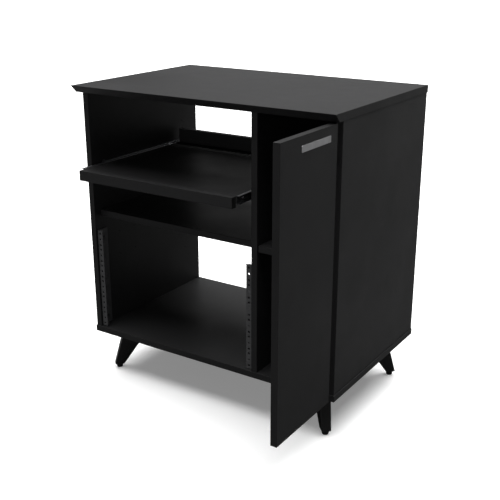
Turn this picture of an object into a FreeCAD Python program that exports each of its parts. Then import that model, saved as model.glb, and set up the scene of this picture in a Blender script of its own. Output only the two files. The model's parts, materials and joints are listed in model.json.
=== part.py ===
import FreeCAD, Part
import math
import os

# A studio desk cabinet with a pull-out keyboard tray on ball-bearing slides, an open
# 19-inch rack bay below it, and a tall side compartment behind a hinged door.
# Lengths are in millimetres. Inside this script x runs from the tabletop's left edge,
# y from the tabletop's front edge and z from the floor; save() moves every piece so
# that the row frame's origin is the centre of the bounding box's floor face.
# The pieces are drawn with the tray partly out and the door open a quarter turn.

V = FreeCAD.Vector
UP, ALONG_X, ALONG_Y = V(0, 0, 1), V(1, 0, 0), V(0, 1, 0)

# ---- driving dimensions ----
WIDTH, DEPTH, HEIGHT = 730.0, 484.0, 784.0
TOP, BOARD = 18.0, 16.0            # thickness of the tabletop and of every other board
SIDE_INSET = 2.0                   # side panels stand back from the tabletop's ends
FRONT = 37.0                       # front edges of the upright panels
BASE_FRONT = FRONT - SIDE_INSET    # the bottom panel stands proud by the same step
LEG = 115.0                        # height of the legs with their glides
BAY = 484.4                        # inner width of the tray and rack bay
SHELF_FRONT = 60.0                 # the rack bay's shelf is set back from the panels
SHELF_TOP = 455.0
EASE = 0.6                         # edge band radius

BASE_TOP = LEG + BOARD
TOP_UNDER = HEIGHT - TOP
LEFT_FACE = SIDE_INSET + BOARD     # inner face of the left side panel
DIVIDER = LEFT_FACE + BAY          # left face of the divider
CELL = DIVIDER + BOARD             # inner face of the divider in the side compartment
RIGHT_FACE = WIDTH - SIDE_INSET - BOARD

# ---- tray and slides ----
TRAY_OUT = 82.0                    # how far the tray is drawn out here
TRAY_TRAVEL = 280.0                # from closed to fully out
SLIDE_THICK, SLIDE_TALL, SLIDE_LONG = 12.7, 27.0, 400.0
SLIDE_FRONT = 76.0
SLIDE_MID = 570.0                  # height of the slides' centre line
SHEET = 1.2                        # sheet steel of the slides
TRAY_TOP = 579.0
TRAY_FRONT = SHELF_FRONT - TRAY_OUT
TRAY_LEFT, TRAY_RIGHT = LEFT_FACE + SLIDE_THICK, DIVIDER - SLIDE_THICK
TRAY_BACK = TRAY_FRONT + 423.5
FASCIA_TALL, RAIL_TALL = 26.0, 38.0
BALL, RACE = 1.2, 10.0             # ball radius, half height of the inner member
CAGE_LONG, CAGE_FRONT_OUT = 110.0, 81.0

# ---- rack ----
UNIT, UNITS, HOLE_SPAN, HOLE_PITCH = 44.45, 6, 465.1, 15.875
RACK_BOTTOM = BASE_TOP + 4.2         # bottom of the lowest unit
RACK_FRONT = 42.0

# ---- door and its two cup hinges, drawn closed and then swung open ----
DOOR_RIGHT, DOOR_WIDTH = 729.5, 227.0
DOOR_FACE = 18.0                   # outer face when closed
DOOR_BOTTOM, DOOR_TOP = 123.5, 763.5
DOOR_BACK = DOOR_FACE + BOARD
SWING = V(728.25, 15.75, 0)        # the quarter turn's resulting centre
CUP_X, CUP_R, CUP_DEEP = DOOR_RIGHT - 20.5, 17.5, 12.0
CUP_PIN = V(722.0, 31.0, 0)        # pin held in the cup, door closed
HINGE_HEIGHTS = {"lower": 213.5, "upper": 673.5}
REACH = 19.0                       # sets how far inside the arm's pin lies


def box(x0, x1, y0, y1, z0, z1):
    return Part.makeBox(x1 - x0, y1 - y0, z1 - z0, V(x0, y0, z0))


def rod(radius, start, axis, length):
    return Part.makeCylinder(radius, length, start, axis)


def board(x0, x1, y0, y1, z0, z1):
    """A banded panel: a box with every edge eased."""
    solid = box(x0, x1, y0, y1, z0, z1)
    return solid.makeFillet(EASE, solid.Edges)


def merge(solids):
    whole = solids[0]
    for solid in solids[1:]:
        whole = whole.fuse(solid)
    return whole.removeSplitter()


def cut(solid, tools):
    for tool in tools:
        solid = solid.cut(tool)
    return solid


def turned(profile, start, axis):
    """A turned piece: profile is (radius, height) pairs from the start point along axis."""
    points = [V(0, 0, profile[0][1])] + [V(r, 0, h) for r, h in profile]
    points.append(V(0, 0, profile[-1][1]))
    solid = Part.Face(Part.makePolygon(points + [points[0]])).revolve(V(), UP, 360)
    solid.Placement = FreeCAD.Placement(start, FreeCAD.Rotation(UP, axis))
    return solid


def countersunk(start, axis, radius, length, head=1.9):
    """A wood screw whose flat head is flush at the start point."""
    return turned([(head * radius, 0), (radius, 0.9 * radius), (radius, length - radius),
                   (0.3, length)], start, axis)


def pan_head(start, axis, radius, length, tall=1.6):
    """A wood screw whose domed head stands back from the start point by its height."""
    return turned([(1.3 * radius, -tall), (1.9 * radius, -0.5 * tall), (1.9 * radius, 0),
                   (radius, 0), (radius, length - radius), (0.3, length)], start, axis)


def save(name, shape):
    half_depth = 0.5 * (DEPTH + door_free_edge())
    shape = shape.copy()
    shape.translate(V(-0.5 * WIDTH, -half_depth, 0))
    shape.exportStep("parts/%s.step" % name)


def door_free_edge():
    """Depth of the open door's free edge, which is the model's foremost point."""
    return SWING.y + DOOR_RIGHT - SWING.x - DOOR_WIDTH


os.makedirs("parts", exist_ok=True)

# ---- joinery shared by the boards ----
UPRIGHTS = {"left": SIDE_INSET + 0.5 * BOARD, "divider": DIVIDER + 0.5 * BOARD,
            "right": WIDTH - SIDE_INSET - 0.5 * BOARD}
SHELF_MID = SHELF_TOP - 0.5 * BOARD

dowels = [rod(4, V(x, y, z), UP, 30)
          for x in UPRIGHTS.values() for y in (90, 330) for z in (121, TOP_UNDER - 18)]
dowels += [rod(4, V(x, y, SHELF_MID), ALONG_X, 30)
           for x in (LEFT_FACE - 10, DIVIDER - 20) for y in (105, 380)]

# Cam discs sit in the inner face of each upright and under the shelf, each behind a flush
# cap. Each bolt runs from the next board into a pocket that its cam closes on.
CAM_R, CAM_DEEP, CAP, CAM_IN = 7.5, 12.0, 1.0, 34.0
BOLT_R, POCKET_R, BOLT_INTO_CAM, BOLT_INTO_BOARD = 3.0, 3.5, 4.5, 11.5
cam_locks, cam_bolts, cam_caps = [], [], []


def cam_and_bolt(opening, inward, seam, away):
    """A capped cam disc, and its bolt that runs along away past the seam into the next board."""
    start = seam - away * (CAM_IN - CAM_R + BOLT_INTO_CAM)
    length = CAM_IN - CAM_R + BOLT_INTO_CAM + BOLT_INTO_BOARD
    disc = rod(CAM_R, opening + inward * CAP, inward, CAM_DEEP - CAP)
    cam_locks.append(disc.cut(rod(POCKET_R, start - away, away, length)))
    cam_bolts.append(rod(BOLT_R, start, away, length))
    cam_caps.append(rod(CAM_R, opening, inward, CAP))


for name, face, inward in (("left", LEFT_FACE, -1), ("divider", CELL, -1), ("right", RIGHT_FACE, 1)):
    for y in (200, 430):
        cam_and_bolt(V(face, y, TOP_UNDER - CAM_IN), ALONG_X * inward,
                     V(UPRIGHTS[name], y, TOP_UNDER), UP)
for face, out in ((LEFT_FACE, 1), (DIVIDER, -1)):
    for y in (140, 420):
        cam_and_bolt(V(face + CAM_IN * out, y, SHELF_TOP - BOARD), UP,
                     V(face, y, SHELF_MID), ALONG_X * -out)

base_screws = [turned([(5, 0), (5, 2), (3.5, 3.5), (3.5, 46), (1, 50)], V(x, y, LEG), UP)
               for x in UPRIGHTS.values() for y in (180, 420)]
joinery = dowels + cam_locks + cam_bolts + cam_caps + base_screws

save("dowels", Part.makeCompound(dowels))
save("cam_locks", Part.makeCompound(cam_locks))
save("cam_bolts", Part.makeCompound(cam_bolts))
save("cam_caps", Part.makeCompound(cam_caps))
save("base_screws", Part.makeCompound(base_screws))

# ---- side compartment's back panel, held in grooves ----
back_panel = box(CELL - 5, RIGHT_FACE + 5, 472, 475, BASE_TOP - 5, TOP_UNDER + 5)
save("compartment_back_panel", back_panel)

# ---- compartment shelf on four pins ----
PIN_Z = SHELF_TOP - BOARD - 2.5
shelf_pins = []
for y in (100, 400):
    for face, out in ((CELL, 1), (RIGHT_FACE, -1)):
        pin = rod(2.5, V(face - 10 * out, y, PIN_Z), ALONG_X * out, 18)
        collar = rod(4, V(face, y, PIN_Z), ALONG_X * out, 1.5)
        shelf_pins.append(merge([pin, collar]))
save("shelf_pins", Part.makeCompound(shelf_pins))
save("compartment_shelf",
     board(CELL + 1.8, RIGHT_FACE - 1.8, 40, 470, SHELF_TOP - BOARD, SHELF_TOP))

# ---- legs: tapered blocks that splay out along the diagonals ----
FOOT_INSET = 42.0                  # foot centre in from each edge of the bottom panel
GLIDE = 12.0
feet = {}
for end, y, dy in (("front", BASE_FRONT + FOOT_INSET, -1), ("rear", DEPTH - FOOT_INSET, 1)):
    for side, x, dx in (("left", FOOT_INSET, -1), ("right", WIDTH - FOOT_INSET, 1)):
        feet["%s_%s" % (end, side)] = (V(x, y, 0), V(dx, dy, 0).normalize())


def leg_section(foot, out, z, inner, outer, wide):
    """A rectangle across the leg at height z, from inner to outer along the splay."""
    across = out.cross(UP)
    half = wide / 2
    plan = [(inner, -half), (outer, -half), (outer, half), (inner, half)]
    corners = [foot + out * u + across * w + UP * z for u, w in plan]
    return Part.makePolygon(corners + [corners[0]])


leg_bolts, leg_inserts, leg_dowels = [], [], []
for name, (foot, out) in feet.items():
    leg = Part.makeLoft([leg_section(foot, out, GLIDE, -11, 14, 23),
                         leg_section(foot, out, LEG, -84, -15, 32)], True, True)
    leg = leg.makeFillet(1.5, [e for e in leg.Edges if abs(e.tangentAt(e.FirstParameter).z) > 0.3])
    bolt_at, pin_at = foot + out * -42 + UP * (LEG - 32), foot + out * -66 + UP * (LEG - 16)
    leg_bolts.append(rod(4, bolt_at, UP, 44))
    leg_dowels.append(rod(4, pin_at, UP, 26))
    insert = rod(6, foot + out * -42 + UP * LEG, UP, 13)
    leg_inserts.append(insert.cut(rod(4, foot + out * -42 + UP * (LEG - 1), UP, 13)))
    pad = turned([(7, 0), (8, 0.8), (9.5, GLIDE), (2.5, GLIDE), (2.5, GLIDE + 16)],
                 foot + out * 1.5, UP)
    leg = cut(leg, [leg_bolts[-1], leg_dowels[-1], pad])
    save("leg_%s" % name, leg)
    save("foot_glide_%s" % name, pad)
save("leg_bolts", Part.makeCompound(leg_bolts))
save("leg_dowels", Part.makeCompound(leg_dowels))
save("leg_inserts", Part.makeCompound(leg_inserts))

# ---- rack rails: angles with a threaded nut at each unit's ends and a plain hole between ----
RAIL_SHEET, RAIL_WIDE, RAIL_DEEP = 2.0, 17.5, 37.0
RAIL_END = 1.5                     # how far the rails run past the units
NUT_WIDE, NUT_DEEP, NUT_BORE = 12.0, 7.0, 3.1
COLLAR_R = 5.5                     # the nuts' round collars, pressed into the flange
HOLE_IN = 0.5 * (BAY - HOLE_SPAN)
rack_screws, rack_nuts = [], []


def clinch_nut(centre):
    """A square nut behind the flange whose round collar is pressed flush into the flange."""
    behind, half = centre.y + RAIL_SHEET, 0.5 * NUT_WIDE
    plate = box(centre.x - half, centre.x + half, behind, behind + NUT_DEEP,
                centre.z - half, centre.z + half)
    collar = rod(COLLAR_R, centre, ALONG_Y, RAIL_SHEET)
    return merge([plate, collar]).cut(rod(NUT_BORE, centre, ALONG_Y, RAIL_SHEET + NUT_DEEP))


def rack_rail(face, out):
    length = UNITS * UNIT
    bottom, top = RACK_BOTTOM - RAIL_END, RACK_BOTTOM + length + RAIL_END
    near, far = sorted((face, face + out * RAIL_SHEET))
    wall = box(near, far, RACK_FRONT, RACK_FRONT + RAIL_DEEP, bottom, top)
    near, far = sorted((face, face + out * RAIL_WIDE))
    flange = box(near, far, RACK_FRONT, RACK_FRONT + RAIL_SHEET, bottom, top)
    rail = merge([wall, flange])
    holes = []
    for unit in range(UNITS):
        middle = V(face + out * HOLE_IN, RACK_FRONT, RACK_BOTTOM + (unit + 0.5) * UNIT)
        holes.append(rod(2.6, middle - ALONG_Y, ALONG_Y, 4))
        for step in (-HOLE_PITCH, HOLE_PITCH):
            holes.append(rod(COLLAR_R, middle - ALONG_Y + UP * step, ALONG_Y, 4))
            rack_nuts.append(clinch_nut(middle + UP * step))
    for z in (RACK_BOTTOM + 22, RACK_BOTTOM + 0.5 * length, RACK_BOTTOM + length - 22):
        screw = pan_head(V(face + out * RAIL_SHEET, RACK_FRONT + 22, z), ALONG_X * -out, 2, 14)
        rack_screws.append(screw)
    return cut(rail, holes + rack_screws[-3:])


save("rack_rail_left", rack_rail(LEFT_FACE, 1))
save("rack_rail_right", rack_rail(DIVIDER, -1))
save("rack_rail_screws", Part.makeCompound(rack_screws))
save("rack_nuts", Part.makeCompound(rack_nuts))

# ---- telescopic slides, drawn as sections (distance off the panel, height off centre) ----
HALF = 0.5 * SLIDE_TALL


def channel(face, out, sections, y0, y1):
    solids = []
    for t0, t1, s0, s1 in sections:
        near, far = sorted((face + out * t0, face + out * t1))
        solids.append(box(near, far, y0, y1, SLIDE_MID + s0, SLIDE_MID + s1))
    return merge(solids)


def both_ways(t0, t1, s0, s1):
    """The same section above and below the slide's centre line."""
    return [(t0, t1, s0, s1), (t0, t1, -s1, -s0)]


SLIDE_LIP = SLIDE_THICK - 2.0
OUTER = ([(0, SHEET, -HALF, HALF)] + both_ways(0, SLIDE_LIP, HALF - 1, HALF)
         + both_ways(SLIDE_LIP - 1, SLIDE_LIP, RACE + 0.4, HALF))
INNER = ([(SLIDE_THICK - SHEET, SLIDE_THICK, -RACE, RACE)]
         + both_ways(4.7, SLIDE_THICK, RACE - SHEET, RACE))
CAGE = [(2.2, 3.0, -RACE - 1.6, RACE + 1.6)] + both_ways(2.2, 9.0, RACE + 0.85, RACE + 1.6)

panel_screws, tray_side_screws = [], []
inner_front = SLIDE_FRONT - TRAY_OUT + 0.5
cage_front = CAGE_FRONT_OUT + 0.5 * (TRAY_TRAVEL - TRAY_OUT)
for name, face, out in (("left", LEFT_FACE, 1), ("right", DIVIDER, -1)):
    fixed = channel(face, out, OUTER, SLIDE_FRONT, SLIDE_FRONT + SLIDE_LONG)
    near, far = sorted((face + out * 2.0, face + out * 9.0))
    fixed = merge([fixed, box(near, far, SLIDE_FRONT, SLIDE_FRONT + 1.5,
                              SLIDE_MID + HALF - 1, SLIDE_MID + HALF + 3.0)])
    screws = [countersunk(V(face + out * SHEET, SLIDE_FRONT + y, SLIDE_MID), ALONG_X * -out, 1.7, 13)
              for y in (34, 226, 376)]
    panel_screws += screws
    save("slide_outer_%s" % name, cut(fixed, screws))

    drawn = channel(face, out, INNER, inner_front, inner_front + SLIDE_LONG)
    screws = [pan_head(V(face + out * (SLIDE_THICK - SHEET), inner_front + y, SLIDE_MID + 1),
                       ALONG_X * out, 1.7, 14) for y in (26, 200, 360)]
    tray_side_screws += screws
    save("slide_inner_%s" % name, cut(drawn, screws))

    cage = channel(face, out, CAGE, cage_front, cage_front + CAGE_LONG)
    balls = []
    for step in range(8):
        for s in (-1, 1):
            centre = V(face + out * 7.0, cage_front + 6 + 14 * step, SLIDE_MID + s * (RACE + 1.25))
            balls.append(Part.makeSphere(BALL, centre))
            cage = cage.cut(rod(BALL + 0.08, centre - UP * 2, UP, 4))
    save("ball_cage_%s" % name, cage)
    save("slide_balls_%s" % name, Part.makeCompound(balls))
save("slide_panel_screws", Part.makeCompound(panel_screws))
save("slide_tray_screws", Part.makeCompound(tray_side_screws))

# ---- keyboard tray ----
tray_dowels = [rod(4, V(x, TRAY_FRONT + 5, TRAY_TOP - 8), ALONG_Y, 30)
               for x in (TRAY_LEFT + 60, 0.5 * (TRAY_LEFT + TRAY_RIGHT), TRAY_RIGHT - 60)]
rail_screws = [countersunk(V(x, TRAY_BACK - 8, TRAY_TOP - BOARD), UP, 2, 40)
               for x in (TRAY_LEFT + 40, 0.5 * (TRAY_LEFT + TRAY_RIGHT), TRAY_RIGHT - 40)]
tray_board = board(TRAY_LEFT, TRAY_RIGHT, TRAY_FRONT + BOARD, TRAY_BACK, TRAY_TOP - BOARD, TRAY_TOP)
save("tray_board", cut(tray_board, tray_dowels + rail_screws + tray_side_screws))
save("tray_fascia", cut(board(TRAY_LEFT, TRAY_RIGHT, TRAY_FRONT, TRAY_FRONT + BOARD,
                              TRAY_TOP - FASCIA_TALL, TRAY_TOP), tray_dowels))
save("tray_rear_rail", cut(board(TRAY_LEFT, TRAY_RIGHT, TRAY_BACK - BOARD, TRAY_BACK,
                                 TRAY_TOP, TRAY_TOP + RAIL_TALL), rail_screws))
save("tray_dowels", Part.makeCompound(tray_dowels))
save("tray_rail_screws", Part.makeCompound(rail_screws))

# ---- cup hinges ----
p, q = SWING.x - CUP_PIN.x, CUP_PIN.y - SWING.y
open_pin = SWING + V(-q, -p, 0)                    # where the cup's pin goes as the door opens
half_way = (CUP_PIN - open_pin).Length / 2
ARM_PIN = (CUP_PIN + open_pin) * 0.5 + V(-(p + q), q - p, 0).normalize() * REACH
LINK_TURN = 2 * math.degrees(math.atan(half_way / REACH))
BEND = 6.0                                         # rise of the link's goose neck
PIN_R = {"arm": 1.5, "cup": 1.3}
RUNNING = 0.05


def bar(a, b, thick, z, half_tall):
    """A flat bar between two points in plan, centred on z."""
    along = (b - a).normalize()
    side = along.cross(UP) * (0.5 * thick)
    corners = [a + side, b + side, b - side, a - side]
    face = Part.Face(Part.makePolygon([c + UP * (z - half_tall) for c in corners + [corners[0]]]))
    return face.extrude(UP * (2 * half_tall))


def upright(radius, at, z, half_tall):
    return rod(radius, at + UP * (z - half_tall), UP, 2 * half_tall)


def opened(shape):
    """Swing a piece drawn on the closed door to where it is with the door open."""
    shape = shape.copy()
    shape.rotate(SWING, UP, 90)
    return shape


arm_pins, cup_pins, cup_screws, arm_screws, cup_bores = [], [], [], [], []
for name, z in HINGE_HEIGHTS.items():
    # fixed arm with a forked end, on a mounting plate
    arm = merge([box(ARM_PIN.x - 3.3, ARM_PIN.x + 3.3, ARM_PIN.y, 100, z - 6.5, z + 6.5),
                 upright(3.3, ARM_PIN, z, 6.5)])
    arm = arm.cut(box(ARM_PIN.x - 4, ARM_PIN.x + 4, ARM_PIN.y - 4, 46, z - 4.8, z + 4.8))
    arm_pins.append(upright(PIN_R["arm"], ARM_PIN, z, 6.5))
    plate = merge([box(ARM_PIN.x + 3.3, RIGHT_FACE - 2.5, 50, 98, z - 6.5, z + 6.5),
                   box(RIGHT_FACE - 2.5, RIGHT_FACE, 56, 92, z - 21, z + 21)])
    screws = [pan_head(V(RIGHT_FACE - 2.5, 74, z + dz), ALONG_X, 2, 13) for dz in (-16, 16)]
    fixing = turned([(3, 0), (2, 1.8), (2, 8)], V(ARM_PIN.x - 3.3, 84, z), ALONG_X)
    arm_screws += screws + [fixing]
    save("hinge_arm_%s" % name, cut(arm, [arm_pins[-1], fixing]))
    save("hinge_plate_%s" % name, cut(plate, screws + [fixing]))

    # goose-neck link
    neck = V(0, BEND, 0)
    neck = FreeCAD.Rotation(UP, 90 + LINK_TURN).multVec(neck) + CUP_PIN
    link = merge([bar(ARM_PIN, neck, 2.2, z, 4.5), bar(neck, CUP_PIN, 2.2, z, 4.5),
                  upright(1.1, neck, z, 4.5), upright(2.9, ARM_PIN, z, 4.5),
                  upright(2.4, CUP_PIN, z, 4.5)])
    link = cut(link, [upright(PIN_R["arm"] + RUNNING, ARM_PIN, z, 6),
                      upright(PIN_R["cup"] + RUNNING, CUP_PIN, z, 6)])
    link.rotate(ARM_PIN, UP, -LINK_TURN)
    save("hinge_link_%s" % name, link)

    # cup pressed into the door, with two lugs that hold the pin
    rim = V(CUP_X, DOOR_BACK - CUP_DEEP, z)
    bowl = rod(CUP_R, rim, ALONG_Y, CUP_DEEP)
    cup_bores.append(bowl)
    flange = box(CUP_X - 12, CUP_X + 16.5, DOOR_BACK, DOOR_BACK + 1.2, z - 30, z + 30)
    hollow = rod(CUP_R - 1, rim + ALONG_Y, ALONG_Y, CUP_DEEP + 2)
    cup = merge([bowl, flange]).cut(hollow)
    for low in (z - 6.3, z + 4.8):
        lug = box(CUP_PIN.x - 3.5, CUP_X + CUP_R, rim.y + 0.5, CUP_PIN.y + 2.3, low, low + 1.5)
        cup = cup.fuse(lug.common(bowl))
    cup_pins.append(upright(PIN_R["cup"], CUP_PIN, z, 6.3))
    screws = [pan_head(V(CUP_X - 5, DOOR_BACK + 1.2, z + dz), ALONG_Y * -1, 1.7, 12)
              for dz in (-24, 24)]
    cup_screws += screws
    save("hinge_cup_%s" % name, opened(cut(cup.removeSplitter(), [cup_pins[-1]] + screws)))
save("hinge_arm_pins", Part.makeCompound(arm_pins))
save("hinge_cup_pins", opened(Part.makeCompound(cup_pins)))
save("hinge_cup_screws", opened(Part.makeCompound(cup_screws)))
save("hinge_plate_screws", Part.makeCompound(arm_screws))

# ---- door ----
door = board(DOOR_RIGHT - DOOR_WIDTH, DOOR_RIGHT, DOOR_FACE, DOOR_BACK, DOOR_BOTTOM, DOOR_TOP)
bumpers = [turned([(4.5, 0), (4.5, 1.4), (3.4, 2.6)], V(DIVIDER + 8, DOOR_BACK, z), ALONG_Y)
           for z in (DOOR_BOTTOM + 24, DOOR_TOP - 24)]
badge = box(DOOR_RIGHT - 147, DOOR_RIGHT - 29.5, DOOR_FACE - 0.8, DOOR_FACE,
            DOOR_TOP - 33.5, DOOR_TOP - 19.5)
badge = badge.makeFillet(0.3, badge.Edges)
save("door_panel", opened(cut(door, cup_bores + cup_screws)))
save("door_bumpers", opened(Part.makeCompound(bumpers)))
save("door_badge", opened(badge))

# ---- carcass boards ----
# The tabletop's front edge is a thin nose with a 45-degree bevel under it.
NOSE = 1.0
profile = [V(0, 0, HEIGHT), V(0, 0, HEIGHT - NOSE), V(0, TOP - NOSE, TOP_UNDER),
           V(0, DEPTH, TOP_UNDER), V(0, DEPTH, HEIGHT)]
tabletop = Part.Face(Part.makePolygon(profile + [profile[0]])).extrude(ALONG_X * WIDTH)
save("tabletop", cut(tabletop, joinery + [back_panel]))

leg_fixings = leg_dowels + [rod(6, foot + out * -42 + UP * LEG, UP, 13)
                            for foot, out in feet.values()]
base = board(0, WIDTH, BASE_FRONT, DEPTH, LEG, BASE_TOP)
save("bottom_panel", cut(base, joinery + leg_fixings + [back_panel]))

# Spare rows of pilot holes for other slide and rail positions.
pilots = [(y, TOP_UNDER - 132) for y in (190, 416, 465)]
pilots += [(y, HEIGHT - drop) for drop in (405, 469.5) for y in (127, 191)]
pilots += [(y, HEIGHT - 534) for y in (192, 416)]
pilot_holes = [rod(1.6, V(LEFT_FACE + 1, y, z), ALONG_X * -1, 9) for y, z in pilots]
pilot_holes += [rod(1.6, V(DIVIDER - 1, y, z), ALONG_X, 9) for y, z in pilots]

wall_fixings = (joinery + [back_panel] + shelf_pins + rack_screws + panel_screws
                + arm_screws + pilot_holes)
for name, x in (("left_side_panel", SIDE_INSET), ("divider_panel", DIVIDER),
                ("right_side_panel", RIGHT_FACE)):
    save(name, cut(board(x, x + BOARD, FRONT, DEPTH, BASE_TOP, TOP_UNDER), wall_fixings))
mid_shelf = board(LEFT_FACE, DIVIDER, SHELF_FRONT, DEPTH, SHELF_TOP - BOARD, SHELF_TOP)
save("mid_shelf", cut(mid_shelf, joinery))
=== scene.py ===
import json
import math

import bmesh
import bpy
from mathutils import Euler, Matrix, Vector


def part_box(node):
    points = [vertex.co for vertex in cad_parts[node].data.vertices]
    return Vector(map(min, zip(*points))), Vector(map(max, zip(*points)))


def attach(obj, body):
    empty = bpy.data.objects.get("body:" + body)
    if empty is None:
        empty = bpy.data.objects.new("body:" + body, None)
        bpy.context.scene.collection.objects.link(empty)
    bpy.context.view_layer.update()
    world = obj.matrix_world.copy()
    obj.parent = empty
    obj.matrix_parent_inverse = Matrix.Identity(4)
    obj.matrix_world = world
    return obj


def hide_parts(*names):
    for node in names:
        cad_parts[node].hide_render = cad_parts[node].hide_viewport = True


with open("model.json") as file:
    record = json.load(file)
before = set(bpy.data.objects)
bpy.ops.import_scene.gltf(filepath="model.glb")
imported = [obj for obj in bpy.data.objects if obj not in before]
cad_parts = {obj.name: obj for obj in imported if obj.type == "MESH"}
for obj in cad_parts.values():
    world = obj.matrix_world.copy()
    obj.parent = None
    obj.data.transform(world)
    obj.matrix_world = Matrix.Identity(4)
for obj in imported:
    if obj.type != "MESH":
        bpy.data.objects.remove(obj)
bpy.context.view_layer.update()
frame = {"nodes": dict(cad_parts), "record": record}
nodes = frame["nodes"]
record = frame["record"]
bodies = record["behaviour"]["bodies"]
body_of = {node: body for body, members in bodies.items() for node in members}
slot_of = {part["node"]: part["material_slot"] for part in record["subparts"]}
MM = 0.001
X, Y, Z = Vector((1, 0, 0)), Vector((0, 1, 0)), Vector((0, 0, 1))


# ---- materials ----
class Shader:
    """A material under construction: a Principled surface and short calls for pattern nodes."""

    def __init__(self, name, colour, roughness, **sockets):
        self.material = bpy.data.materials.new(name)
        self.material.use_nodes = True
        self.tree = self.material.node_tree
        self.tree.nodes.clear()
        self.surface = self.tree.nodes.new("ShaderNodeBsdfPrincipled")
        output = self.tree.nodes.new("ShaderNodeOutputMaterial")
        self.tree.links.new(self.surface.outputs[0], output.inputs[0])
        self.surface.inputs["Base Color"].default_value = (*colour, 1)
        self.surface.inputs["Roughness"].default_value = roughness
        for socket, value in sockets.items():
            self.surface.inputs[socket.replace("_", " ")].default_value = value
        coords = self.tree.nodes.new("ShaderNodeTexCoord")
        self.coords, self.normal = coords.outputs["Object"], coords.outputs["Normal"]

    def feed(self, socket, value):
        """Gives a socket a link or a plain value, whichever value is."""
        if isinstance(value, bpy.types.NodeSocket):
            self.tree.links.new(value, socket)
        else:
            socket.default_value = value

    def math(self, operation, a, b=0.0, c=0.0):
        node = self.tree.nodes.new("ShaderNodeMath")
        node.operation = operation
        for socket, value in zip(node.inputs, (a, b, c)):
            self.feed(socket, value)
        return node.outputs[0]

    def split(self, vector):
        """The x, y and z of a vector."""
        node = self.tree.nodes.new("ShaderNodeSeparateXYZ")
        self.tree.links.new(vector, node.inputs[0])
        return list(node.outputs)

    def mapped(self, scale):
        node = self.tree.nodes.new("ShaderNodeMapping")
        self.tree.links.new(self.coords, node.inputs["Vector"])
        node.inputs["Scale"].default_value = scale
        return node.outputs[0]

    def noise(self, scale, detail=3.0, rough=0.5, stretch=(1, 1, 1)):
        """A noise pattern with scale features to the metre."""
        node = self.tree.nodes.new("ShaderNodeTexNoise")
        self.feed(node.inputs["Vector"], self.mapped(stretch))
        node.inputs["Scale"].default_value = scale
        node.inputs["Detail"].default_value = detail
        node.inputs["Roughness"].default_value = rough
        return node.outputs["Fac"]

    def cells(self, scale):
        """Small pits, scale of them to the metre."""
        node = self.tree.nodes.new("ShaderNodeTexVoronoi")
        self.feed(node.inputs["Vector"], self.coords)
        node.inputs["Scale"].default_value = scale
        return node.outputs["Distance"]

    def span(self, value, low, high, out_low=0.0, out_high=1.0):
        """Maps low to high onto out_low to out_high, and stops there."""
        node = self.tree.nodes.new("ShaderNodeMapRange")
        node.clamp = True
        for socket, number in zip(list(node.inputs)[:5], (value, low, high, out_low, out_high)):
            self.feed(socket, number)
        return node.outputs[0]

    def mix(self, share, a, b):
        node = self.tree.nodes.new("ShaderNodeMix")
        node.data_type = "RGBA"
        self.feed(node.inputs["Factor"], share)
        for name, value in (("A", a), ("B", b)):
            socket = [s for s in node.inputs if s.name == name and s.type == "RGBA"][0]
            self.feed(socket, value if isinstance(value, bpy.types.NodeSocket) else (*value, 1))
        return [s for s in node.outputs if s.type == "RGBA"][0]

    def colour(self, value):
        self.feed(self.surface.inputs["Base Color"], value)

    def rough(self, value):
        self.feed(self.surface.inputs["Roughness"], value)

    def bump(self, height, distance, strength):
        """Adds relief: height is 0 to 1 and distance its depth in metres."""
        node = self.tree.nodes.new("ShaderNodeBump")
        self.feed(node.inputs["Height"], height)
        node.inputs["Distance"].default_value = distance
        node.inputs["Strength"].default_value = strength
        previous = self.surface.inputs["Normal"].links
        if previous:
            self.tree.links.new(previous[0].from_socket, node.inputs["Normal"])
        self.tree.links.new(node.outputs[0], self.surface.inputs["Normal"])


BOARD_GREY, BAND_GREY, FLECK_GREY, SEAM_GREY = 0.0185, 0.0150, 0.032, 0.003
CLOUD_GREY = 1.22 * BOARD_GREY
COOL = (1.0, 1.0, 1.03)                        # the laminate's slight blue cast
# Painted shade: these two boards are drawn darker than the rest, at this share of the usual greys, as
# less light reaches them.
PAINTED_SHADE = {"door_panel": 0.82, "tray_board": 0.62}
BOARD_ROUGH = 0.42
SEAM_IN = 1.0 * MM                             # the edge band's seam lies this far in from an edge
SEAM_CORE, SEAM_FADE = 0.05 * MM, 0.16 * MM    # half widths of its dark core and of its soft sides
WORN_WIDE = 5 * MM                             # edges are rubbed a little dull over this width


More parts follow.
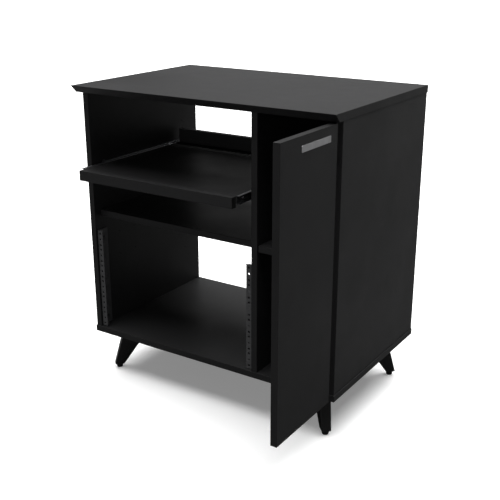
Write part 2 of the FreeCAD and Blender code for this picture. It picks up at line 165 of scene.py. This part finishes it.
def laminate(node):
    """Pearl-textured melamine faces with smoother edge bands and the fine seam beside them."""
    low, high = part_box(node)
    thickness = [high[i] - low[i] for i in range(3)]
    through = thickness.index(min(thickness))
    # The door and the tray get painted shade here: their greys are cut by the share above.
    face, band, cloudy, fleck = (tuple(grey * PAINTED_SHADE.get(node, 1.0) * tint for tint in COOL)
                                 for grey in (BOARD_GREY, BAND_GREY, CLOUD_GREY, FLECK_GREY))
    s = Shader("laminate_" + node, face, BOARD_ROUGH, Specular_IOR_Level=0.20)
    place, facing = s.split(s.coords), s.split(s.normal)
    on_face = s.span(s.math("ABSOLUTE", facing[through]), 0.80, 0.95)
    edge = None
    for i in range(3):
        if i == through:
            continue
        for gap in (s.math("SUBTRACT", place[i], low[i]), s.math("SUBTRACT", high[i], place[i])):
            edge = gap if edge is None else s.math("MINIMUM", edge, gap)
    off_seam = s.math("ABSOLUTE", s.math("SUBTRACT", edge, SEAM_IN))
    seam = s.math("MULTIPLY", s.span(off_seam, SEAM_CORE, SEAM_FADE, 1.0, 0.0), on_face)
    on_board = s.math("MULTIPLY", on_face, s.span(edge, 0.9 * SEAM_IN, 1.1 * SEAM_IN))
    cloud = s.noise(7, 4, 0.55)
    speck = s.span(s.noise(1400, 2, 0.6), 0.62, 0.78)
    plain = s.mix(on_board, band, face)
    clouded = s.mix(s.span(cloud, 0.35, 0.7, 0.0, 0.35), plain, cloudy)
    specked = s.mix(s.math("MULTIPLY", speck, 0.55), clouded, fleck)
    s.colour(s.mix(seam, specked, (SEAM_GREY,) * 3))
    worn = s.span(edge, 0.0, WORN_WIDE, 0.05, 0.0)
    rough = s.math("ADD", s.span(cloud, 0.3, 0.7, BOARD_ROUGH - 0.05, BOARD_ROUGH + 0.06), worn)
    s.rough(s.math("ADD", rough, s.span(on_board, 0, 1, -0.04, 0.0)))
    pearl = s.math("MULTIPLY", s.cells(1900), on_board)
    s.bump(pearl, 0.11 * MM, 0.8)
    s.bump(s.noise(260, 2, 0.5), 0.03 * MM, 0.25)
    s.bump(s.math("SUBTRACT", 1.0, seam), 0.10 * MM, 0.7)
    return s.material


def steel(name, colour, roughness, along=None, spread=0.08):
    """Bare or plated metal with smudges; along is the axis its drawing lines follow."""
    s = Shader(name, colour, roughness, Metallic=1.0)
    smudge = s.noise(38, 4, 0.6)
    s.rough(s.span(smudge, 0.3, 0.75, roughness - spread, roughness + spread))
    s.colour(s.mix(s.span(smudge, 0.35, 0.7, 0.0, 0.5), colour, [0.78 * c for c in colour]))
    if along is not None:
        stretch = [1.0, 1.0, 1.0]
        stretch[along] = 0.01
        s.bump(s.noise(5200, 2, 0.5, stretch), 0.012 * MM, 0.35)
    else:
        s.bump(s.noise(2600, 2, 0.5), 0.01 * MM, 0.3)
    return s.material


def coated(name, colour, roughness, bumps, depth, level=0.5):
    """Powder coat, oxide, rubber or moulded plastic: bumps features to the metre, depth mm deep."""
    s = Shader(name, colour, roughness, Specular_IOR_Level=level)
    cloud = s.noise(30, 3, 0.55)
    s.colour(s.mix(s.span(cloud, 0.35, 0.7, 0.0, 0.6), colour, [1.35 * c for c in colour]))
    s.rough(s.span(cloud, 0.3, 0.7, roughness - 0.05, roughness + 0.07))
    s.bump(s.noise(bumps, 3, 0.55), depth * MM, 0.5)
    return s.material


def wood(name, light, dark, roughness, along, depth):
    """Grain that runs along one axis, with pores; depth is the grain's, in mm."""
    s = Shader(name, light, roughness, Specular_IOR_Level=0.4)
    stretch = [1.0, 1.0, 1.0]
    stretch[along] = 0.06
    grain, pores = s.noise(220, 5, 0.6, stretch), s.noise(1500, 2, 0.5, stretch)
    s.colour(s.mix(s.span(grain, 0.35, 0.65), light, dark))
    s.rough(s.span(pores, 0.3, 0.7, roughness - 0.06, roughness + 0.08))
    s.bump(grain, depth * MM, 0.4)
    s.bump(pores, 0.4 * depth * MM, 0.4)
    return s.material


FINISH = {
    "black_hardboard": wood("hardboard", (0.014, 0.014, 0.015), (0.010, 0.010, 0.010), 0.6,
                            along=2, depth=0.05),
    "black_leg_lacquer": wood("leg_lacquer", (0.0075, 0.0075, 0.008), (0.005, 0.005, 0.005), 0.33,
                              along=2, depth=0.03),
    "black_rubber": coated("rubber", (0.012, 0.012, 0.012), 0.75, bumps=1700, depth=0.05, level=0.3),
    "black_steel": coated("powder_coat", (0.062, 0.062, 0.064), 0.46, bumps=1100, depth=0.06,
                          level=0.4),
    "black_screws": coated("black_oxide", (0.010, 0.010, 0.011), 0.36, bumps=2600, depth=0.01,
                           level=0.6),
    "black_cap_plastic": coated("cap_plastic", (0.012, 0.012, 0.0125), 0.5, bumps=1800, depth=0.03,
                                level=0.4),
    "zinc_slide_steel": steel("slide_zinc", (0.34, 0.345, 0.36), 0.32, along=1),
    "cage_plastic": coated("cage_plastic", (0.025, 0.025, 0.027), 0.42, bumps=900, depth=0.02),
    "ball_steel": steel("ball_steel", (0.72, 0.72, 0.74), 0.12, spread=0.04),
    "zinc_screws": steel("screw_zinc", (0.56, 0.56, 0.57), 0.30),
    "cam_zinc": steel("cam_zinc", (0.40, 0.40, 0.41), 0.45),
    "beech": wood("beech", (0.62, 0.44, 0.27), (0.47, 0.31, 0.18), 0.62, along=2, depth=0.12),
    "nickel_steel": steel("nickel", (0.60, 0.59, 0.57), 0.38, spread=0.06),
    "badge_aluminium": steel("badge_aluminium", (0.62, 0.62, 0.63), 0.36, along=1),
}
for name, node in nodes.items():
    slot = slot_of[name]
    node.data.materials.clear()
    node.data.materials.append(laminate(name) if slot == "black_laminate" else FINISH[slot])


# ---- mesh helpers ----
WELD = 0.002 * MM                              # vertices nearer than this are one
ROUND_ABOVE = 32                               # edges that turn by more degrees than this are rounded
SMOOTH_BELOW = 40                              # and what turns by fewer than this is shaded smooth


def rounded(corners, steps=5):
    """A closed outline: corners is (u, v, radius) points, each turned into an arc."""
    outline = []
    for i, (u, v, radius) in enumerate(corners):
        here = Vector((u, v))
        before = (Vector(corners[i - 1][:2]) - here).normalized()
        after = (Vector(corners[(i + 1) % len(corners)][:2]) - here).normalized()
        if radius <= 0:
            outline.append(here)
            continue
        half = 0.5 * before.angle(after)
        centre = here + (before + after).normalized() * (radius / math.sin(half))
        start, end = (here + side * (radius / math.tan(half)) for side in (before, after))
        turn = (start - centre).angle_signed(end - centre)
        for step in range(steps + 1):
            outline.append(centre + Matrix.Rotation(-turn * step / steps, 2) @ (start - centre))
    return outline


def prism(outline, place):
    """A bmesh of an outline's two ends and sides; place(u, v, end) gives a point, end 0 or 1."""
    bm = bmesh.new()
    rings = [[bm.verts.new(place(p[0], p[1], end)) for p in outline] for end in (0, 1)]
    for i in range(len(outline)):
        j = (i + 1) % len(outline)
        bm.faces.new((rings[0][i], rings[0][j], rings[1][j], rings[1][i]))
    bm.faces.new(rings[0][::-1])
    bm.faces.new(rings[1])
    bmesh.ops.recalc_face_normals(bm, faces=bm.faces)
    return bm


def tube(bm, centre, axis, radius_a, radius_b, length, sides=24):
    """Adds a closed round or tapered plug to bm."""
    turn = axis.to_track_quat("Z", "Y").to_matrix().to_4x4()
    matrix = Matrix.Translation(centre + axis * (0.5 * length)) @ turn
    bmesh.ops.create_cone(bm, cap_ends=True, segments=sides, radius1=radius_a,
                          radius2=radius_b, depth=length, matrix=matrix)


def in_scene(name, data):
    """A new object for a mesh, a light or a camera."""
    obj = bpy.data.objects.new(name, data)
    bpy.context.scene.collection.objects.link(obj)
    return obj


def to_object(bm, name):
    """A new object with bm's mesh."""
    mesh = bpy.data.meshes.new(name)
    bm.to_mesh(mesh)
    bm.free()
    return in_scene(name, mesh)


def settle(obj):
    """Turns obj's modifiers into its mesh."""
    bpy.context.view_layer.update()
    evaluated = obj.evaluated_get(bpy.context.evaluated_depsgraph_get())
    result = bpy.data.meshes.new_from_object(evaluated)
    obj.modifiers.clear()
    obj.data = result


def carve(obj, bm):
    """Cuts the closed shapes in bm out of obj."""
    tool = to_object(bm, "tool")
    cutter = obj.modifiers.new("carve", "BOOLEAN")
    cutter.operation, cutter.solver, cutter.object = "DIFFERENCE", "EXACT", tool
    settle(obj)
    bpy.data.objects.remove(tool)


def shade(obj, angle):
    """Shades obj smooth across its rounded edges, and leaves its large faces flat."""
    obj.data.shade_smooth()
    obj.data.set_sharp_from_angle(angle=math.radians(angle))
    weighted = obj.modifiers.new("weighted", "WEIGHTED_NORMAL")
    weighted.mode, weighted.weight, weighted.keep_sharp = "FACE_AREA", 90, True
    settle(obj)


def soften(obj, width, segments=2):
    """Rounds obj's sharp edges and shades it smooth between them."""
    bevel = obj.modifiers.new("bevel", "BEVEL")
    bevel.width, bevel.segments, bevel.limit_method = width, segments, "ANGLE"
    bevel.angle_limit, bevel.use_clamp_overlap = math.radians(ROUND_ABOVE), True
    settle(obj)
    shade(obj, SMOOTH_BELOW)


def stand_for(obj, name):
    """obj replaces a CAD node, with its body, slot and finish."""
    obj.data.materials.clear()
    obj.data.materials.append(FINISH[slot_of[name]])
    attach(obj, body_of[name])
    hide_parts(name)


def welded(name):
    """A bmesh of a CAD node's surface."""
    bm = bmesh.new()
    bm.from_mesh(nodes[name].data)
    bmesh.ops.remove_doubles(bm, verts=bm.verts, dist=WELD)
    return bm


def cad_copy(name):
    """A bmesh of a CAD node's surface, its flat areas merged into single faces."""
    bm = welded(name)
    bmesh.ops.dissolve_limit(bm, angle_limit=math.radians(0.5), verts=bm.verts, edges=bm.edges)
    return bm


def islands(name):
    """The points of each separate solid of a CAD node, in order of place."""
    bm = welded(name)
    seen, found = set(), []
    for first in bm.verts:
        if first in seen:
            continue
        seen.add(first)
        group, queue = [], [first]
        while queue:
            vert = queue.pop()
            group.append(vert.co.copy())
            for edge in vert.link_edges:
                other = edge.other_vert(vert)
                if other not in seen:
                    seen.add(other)
                    queue.append(other)
        found.append(group)
    bm.free()
    return sorted(found, key=lambda g: tuple(round(c, 5) for c in sum(g, Vector()) / len(g)))


def extent(points):
    """Lowest corner, highest corner and middle of some points."""
    low = Vector([min(p[i] for p in points) for i in range(3)])
    high = Vector([max(p[i] for p in points) for i in range(3)])
    return low, high, 0.5 * (low + high)


def middles(name, wall=0.0, reach=math.inf):
    """The middles of a CAD node's separate solids that stand within reach of a wall."""
    centres = [extent(group)[2] for group in islands(name)]
    return [centre for centre in centres if abs(centre.x - wall) < reach]


def refined(name, width, segments=2):
    """Replaces a CAD node by its own shape with rounded edges."""
    obj = to_object(cad_copy(name), name + "_fine")
    soften(obj, width, segments)
    stand_for(obj, name)


HEAD_REACH = 2.2 * MM                          # a screw's head is looked for this near its ends
CROSS_LONG, CROSS_DEEP = 0.55, 0.6             # recess's half length and depth, of the head's radius


def screw_head(group):
    """The middle of a screw head's top, the direction into the screw, and the head's radius."""
    low, high, middle = extent(group)
    size = high - low
    line = max(range(3), key=lambda i: size[i])
    across = [i for i in range(3) if i != line]
    radius = {}
    for end, at in ((-1, low[line]), (1, high[line])):
        near = [v for v in group if abs(v[line] - at) < HEAD_REACH]
        radius[end] = max(math.dist([v[i] for i in across], [middle[i] for i in across])
                          for v in near)
    end = max(radius, key=radius.get)
    top, inward = middle.copy(), Vector((0, 0, 0))
    top[line] = high[line] if end > 0 else low[line]
    inward[line] = -end
    return top, inward, radius[end]


def recess_wing(bm, top, inward, size, deep, wing):
    """Adds one tapered wing of a cross-shaped driver recess, in from top."""
    turn = inward.to_track_quat("Z", "Y").to_matrix()
    cross = Matrix.Rotation(math.radians(90 * wing), 3, "Z")
    rings = []
    for long, wide, depth in ((size, 0.22 * size, -0.1 * MM), (0.4 * size, 0.14 * size, deep)):
        rings.append([bm.verts.new(top + turn @ (cross @ Vector((u * long, v * wide, depth))))
                      for u, v in ((-1, -1), (1, -1), (1, 1), (-1, 1))])
    mouth, bottom = rings
    faces = [bm.faces.new((mouth[i], mouth[(i + 1) % 4], bottom[(i + 1) % 4], bottom[i]))
             for i in range(4)]
    faces += [bm.faces.new(mouth[::-1]), bm.faces.new(bottom)]
    bmesh.ops.recalc_face_normals(bm, faces=faces)


def screws(name):
    """Replaces a CAD node's plain screws by screws with a cross recess in each head."""
    obj = to_object(cad_copy(name), name + "_fine")
    heads = [screw_head(group) for group in islands(name)]
    for wing in range(2):
        tool = bmesh.new()
        for top, inward, radius in heads:
            recess_wing(tool, top, inward, CROSS_LONG * radius, CROSS_DEEP * radius, wing)
        carve(obj, tool)
    soften(obj, 0.15 * MM)
    stand_for(obj, name)


# ---- telescopic slides: rolled sections along y, measured off the panel and off their centre ----
WEB, FLANGE = 1.2 * MM, 1.0 * MM               # sheet of both webs, and of the outer's flanges
OUTER_HALF, INNER_HALF = 13.5 * MM, 10.0 * MM  # half heights of the two members
LIP_GAP = 0.4 * MM                             # from the outer member's lips to the inner member
INNER_DEEP = 8 * MM                            # depth of the inner member's flanges
CAGE_WALL = 0.75 * MM
POCKET_R = 1.28 * MM                           # ball pockets in the cages
HOLE_FIRST, HOLE_PITCH, HOLES = 12 * MM, 32 * MM, 12    # spare holes in the outer web
HOLE_R = 2.3 * MM
HOLE_CLEAR = 8 * MM                            # no spare hole is this near a screw
OVER, THROUGH = 1 * MM, 4 * MM                 # a cut's start outside the sheet, and its length
SCREW_BORE_R = 1.9 * MM
LUG_NEAR, LUG_FAR, LUG_THICK = 2 * MM, 9 * MM, 1.4 * MM
LUG_ROOT = 0.6 * MM                            # the stop lug's foot in the top flange
SIDES = (("left", 1), ("right", -1))           # and which way along x its wall faces

inner_low, inner_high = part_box("slide_inner_left")
slide_mid = 0.5 * (inner_low[2] + inner_high[2])


def mirrored(upper):
    """An outline that is the same below the centre line as above it."""
    return upper + [(u, -v, r) for u, v, r in reversed(upper)]


def wall_of(node, out):
    """The x of the face that a node is fixed against."""
    low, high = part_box(node)
    return low[0] if out > 0 else high[0]


def span_off(node, wall, out):
    """How far off the wall a node starts and ends."""
    return sorted(out * (corner[0] - wall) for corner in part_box(node))


def run(name, outline, wall, out, y0, y1):
    """A section along y from y0 to y1: outline is (distance off the wall, height off centre)."""
    def place(u, v, end):
        return Vector((wall + out * u, (y0, y1)[end], slide_mid + v))
    return to_object(prism(outline, place), name)


def outer_member(node, wall, out):
    """The slide's outer member, with spare holes and countersunk screw holes in its web."""
    low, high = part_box(node)
    lip = high[0] - low[0]
    section = mirrored([(0, OUTER_HALF, 1.8 * MM), (lip, OUTER_HALF, 1.5 * MM),
                        (lip, INNER_HALF + LIP_GAP, 0.4 * MM),
                        (lip - FLANGE, INNER_HALF + LIP_GAP, 0.4 * MM),
                        (lip - FLANGE, OUTER_HALF - FLANGE, 0.5 * MM),
                        (WEB, OUTER_HALF - FLANGE, 0.8 * MM)])
    member = run(node + "_fine", rounded(section), wall, out, low[1], high[1])
    spots = [screw.y for screw in middles("slide_panel_screws", wall, 20 * MM)]
    holes = bmesh.new()
    for i in range(HOLES):
        y = low[1] + (HOLE_FIRST + HOLE_PITCH * i)
        if min(abs(y - spot) for spot in spots) > HOLE_CLEAR:
            tube(holes, Vector((wall - out * OVER, y, slide_mid)), X * out, HOLE_R, HOLE_R, THROUGH)
    carve(member, holes)
    # Each screw has a cone for its head, and then a plain bore: start off the wall, radii, depth.
    for start, wide, narrow, deep in ((1.4 * MM, 3.55 * MM, 1.95 * MM, 1.6 * MM),
                                      (2.0 * MM, SCREW_BORE_R, SCREW_BORE_R, THROUGH)):
        sinks = bmesh.new()
        for y in spots:
            tube(sinks, Vector((wall + out * start, y, slide_mid)), X * -out, wide, narrow, deep)
        carve(member, sinks)
    soften(member, 0.12 * MM)
    return member


def stop_lug(node, wall, out):
    """The lug that stands up from the front end of the outer member's top flange."""
    low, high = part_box(node)
    foot, top = OUTER_HALF - LUG_ROOT, high[2] - slide_mid
    outline = rounded([(LUG_NEAR, foot, 0), (LUG_FAR, foot, 0),
                       (LUG_FAR, top, 0.9 * MM), (LUG_NEAR, top, 0.9 * MM)])
    lug = run(node + "_lug", outline, wall, out, low[1], low[1] + LUG_THICK)
    soften(lug, 0.2 * MM)
    return lug


def inner_member(node, wall, out):
    """The slide's inner member, a shallow channel."""
    low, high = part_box(node)
    off = span_off(node, wall, out)[1]
    section = mirrored([(off, INNER_HALF, 1.6 * MM), (off - INNER_DEEP, INNER_HALF, 0.5 * MM),
                        (off - INNER_DEEP, INNER_HALF - WEB, 0.5 * MM),
                        (off - WEB, INNER_HALF - WEB, 0.7 * MM)])
    member = run(node + "_fine", rounded(section), wall, out, low[1], high[1])
    soften(member, 0.12 * MM)
    return member


def ball_cage(node, balls, wall, out):
    """The cage between the members, with a pocket for each ball."""
    low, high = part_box(node)
    near, far = span_off(node, wall, out)
    half = 0.5 * (high[2] - low[2])
    section = mirrored([(near, half, 0.9 * MM), (far, half, 0.3 * MM),
                        (far, half - CAGE_WALL, 0.3 * MM),
                        (near + CAGE_WALL, half - CAGE_WALL, 0.4 * MM)])
    cage = run(node + "_fine", rounded(section), wall, out, low[1], high[1])
    pockets = bmesh.new()
    for ball in middles(balls):
        tube(pockets, ball - Z * (0.5 * THROUGH), Z, POCKET_R, POCKET_R, THROUGH)
    carve(cage, pockets)
    soften(cage, 0.1 * MM)
    return cage


for side, out in SIDES:
    outer, inner, cage = "slide_outer_" + side, "slide_inner_" + side, "ball_cage_" + side
    wall = wall_of(outer, out)
    member = outer_member(outer, wall, out)
    lug = stop_lug(outer, wall, out)
    stand_for(member, outer)
    lug.data.materials.append(FINISH["zinc_slide_steel"])
    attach(lug, body_of[outer])
    stand_for(inner_member(inner, wall, out), inner)
    stand_for(ball_cage(cage, "slide_balls_" + side, wall, out), cage)

# ---- rack rails: sheet bent into an angle, with holes for the nuts' collars ----
RAIL_SHEET = 2.0 * MM
OUTER_BEND, INNER_BEND, CUT_EDGE = 3.2 * MM, 1.2 * MM, 0.5 * MM
COLLAR_HOLE_R, MIDDLE_HOLE_R = 5.6 * MM, 2.6 * MM
RAIL_CUT = 5 * MM


def rack_rail(node, out):
    """A rail: a flange across the opening, and one along the wall."""
    low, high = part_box(node)
    wall = wall_of(node, out)
    wide, deep = high[0] - low[0], high[1] - low[1]
    section = rounded([(0, 0, OUTER_BEND), (wide, 0, CUT_EDGE), (wide, RAIL_SHEET, CUT_EDGE),
                       (RAIL_SHEET, RAIL_SHEET, INNER_BEND), (RAIL_SHEET, deep, CUT_EDGE),
                       (0, deep, CUT_EDGE)])

    def place(u, v, end):
        return Vector((wall + out * u, low[1] + v, (low[2], high[2])[end]))
    rail = to_object(prism(section, place), node + "_fine")
    front = low[1] - OVER
    nuts = middles("rack_nuts", wall, 60 * MM)
    holes = bmesh.new()
    for nut in nuts:
        tube(holes, Vector((nut.x, front, nut.z)), Y, COLLAR_HOLE_R, COLLAR_HOLE_R, RAIL_CUT, 40)
    nuts.sort(key=lambda nut: nut.z)
    for below, above in zip(nuts[0::2], nuts[1::2]):
        middle = Vector((below.x, front, 0.5 * (below.z + above.z)))
        tube(holes, middle, Y, MIDDLE_HOLE_R, MIDDLE_HOLE_R, RAIL_CUT, 28)
    carve(rail, holes)
    soften(rail, 0.2 * MM)
    return rail


for side, out in SIDES:
    name = "rack_rail_" + side
    stand_for(rack_rail(name, out), name)

# ---- pieces refined from the CAD shapes ----
refined("rack_nuts", 0.3 * MM)
for name in ("rack_rail_screws", "slide_panel_screws", "slide_tray_screws", "hinge_cup_screws",
             "hinge_plate_screws", "tray_rail_screws", "base_screws"):
    screws(name)
for end in ("lower", "upper"):
    for kind, width in (("hinge_arm", 0.5 * MM), ("hinge_plate", 0.4 * MM),
                        ("hinge_cup", 0.35 * MM), ("hinge_link", 0.3 * MM)):
        refined(kind + "_" + end, width, 3)
for corner in ("front_left", "front_right", "rear_left", "rear_right"):
    refined("leg_" + corner, 0.8 * MM, 3)
    refined("foot_glide_" + corner, 0.5 * MM, 3)
refined("door_bumpers", 0.4 * MM, 3)
refined("cam_caps", 0.2 * MM)
refined("shelf_pins", 0.3 * MM)

# ---- badge: a blank plate with rounded corners and an engraved border ----
# In mm: its thickness, and at each level how far in from the edge, how far off the door, and the
# corner radius.
BADGE_THICK = 0.8
BADGE_LEVELS = ((0, 0.0, 1.5), (0, 0.45, 1.5), (0.25, 0.8, 1.3), (1.3, 0.8, 0.9),
                (1.42, 0.62, 0.85), (1.75, 0.62, 0.7), (1.87, 0.8, 0.65))


def badge_outline(half_long, half_tall, radius):
    return rounded([(-half_long, -half_tall, radius), (half_long, -half_tall, radius),
                    (half_long, half_tall, radius), (-half_long, half_tall, radius)], 6)


low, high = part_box("door_badge")
mid_y, mid_z = 0.5 * (low[1] + high[1]), 0.5 * (low[2] + high[2])
half_long, half_tall = 0.5 * (high[1] - low[1]), 0.5 * (high[2] - low[2])
bm = bmesh.new()
rings = []
for inset, rise, radius in BADGE_LEVELS:
    x = low[0] + (high[0] - low[0]) * rise / BADGE_THICK
    outline = badge_outline(half_long - inset * MM, half_tall - inset * MM, radius * MM)
    rings.append([bm.verts.new((x, mid_y + u, mid_z + v)) for u, v in outline])
for below, above in zip(rings, rings[1:]):
    for i in range(len(below)):
        j = (i + 1) % len(below)
        bm.faces.new((below[i], below[j], above[j], above[i]))
bm.faces.new(rings[0][::-1])
bm.faces.new(rings[-1])
bmesh.ops.recalc_face_normals(bm, faces=bm.faces)
badge = to_object(bm, "door_badge_fine")
shade(badge, 50)
stand_for(badge, "door_badge")


# ---- stage: the camera sees the floor and the world nearly white, and the object gets little
# light from either, so their greys for camera rays and for other rays differ ----
FLOOR_HALF = 30.0
FLOOR_GREY, FLOOR_SEEN, FLOOR_GLOW = (0.10,) * 3, (0.95,) * 3, 0.2
WORLD_LIGHT, WORLD_SEEN = 0.10, 1.0
CAMERA_AT = (1.1540, -1.6644, 1.0947)
CAMERA_DOWN, CAMERA_TURN = 19.27, 33.1         # degrees below level, and round from facing +Y
LENS, SENSOR = 61.65, 36


def lamp(name, kind, at, towards, energy, **settings):
    """A light at a point, aimed towards another, that the camera doesn't see."""
    data = bpy.data.lights.new(name, kind)
    data.energy = energy
    for key, value in settings.items():
        setattr(data, key, value)
    obj = in_scene(name, data)
    obj.location = at
    obj.rotation_euler = (Vector(towards) - Vector(at)).to_track_quat("-Z", "Y").to_euler()
    obj.visible_camera = False


floor_mesh = bpy.data.meshes.new("floor")
floor_mesh.from_pydata([(-FLOOR_HALF, -FLOOR_HALF, 0), (FLOOR_HALF, -FLOOR_HALF, 0),
                        (FLOOR_HALF, FLOOR_HALF, 0), (-FLOOR_HALF, FLOOR_HALF, 0)], [],
                       [(0, 1, 2, 3)])
floor = in_scene("floor", floor_mesh)
floor_look = Shader("floor_white", (0.8, 0.8, 0.8), 0.9, Specular_IOR_Level=0.0)
seen = floor_look.tree.nodes.new("ShaderNodeLightPath").outputs["Is Camera Ray"]
floor_look.colour(floor_look.mix(seen, FLOOR_GREY, FLOOR_SEEN))
floor_look.surface.inputs["Emission Color"].default_value = (1, 1, 1, 1)
glow = floor_look.span(seen, 0, 1, 0.0, FLOOR_GLOW)
floor_look.feed(floor_look.surface.inputs["Emission Strength"], glow)
floor_mesh.materials.append(floor_look.material)

world = bpy.data.worlds.new("studio")
world.use_nodes = True
tree = world.node_tree
background = tree.nodes["Background"]
background.inputs["Color"].default_value = (1, 1, 1, 1)
path = tree.nodes.new("ShaderNodeLightPath")
share = tree.nodes.new("ShaderNodeMapRange")
tree.links.new(path.outputs["Is Camera Ray"], share.inputs["Value"])
share.inputs["To Min"].default_value = WORLD_LIGHT
share.inputs["To Max"].default_value = WORLD_SEEN
tree.links.new(share.outputs[0], background.inputs["Strength"])
bpy.context.scene.world = world
lamp("overhead", "SUN", (-0.15, 0.40, 3.0), (0, 0, 0), 6.4, angle=math.radians(72))
lamp("front_fill", "AREA", (0.3, -4.0, 0.7), (0, 0, 0.45), 22, size=2.5)
lamp("backdrop", "AREA", (0, 3.6, 1.2), (0, 0, 0.6), 8, shape="RECTANGLE", size=6.0, size_y=2.6)
bpy.context.scene.view_settings.view_transform = "Standard"

camera_data = bpy.data.cameras.new("camera")
camera_data.lens, camera_data.sensor_width = LENS, SENSOR
camera = in_scene("camera", camera_data)
camera.location = CAMERA_AT
camera.rotation_euler = Euler((math.radians(90 - CAMERA_DOWN), 0, math.radians(CAMERA_TURN)))
bpy.context.scene.camera = camera
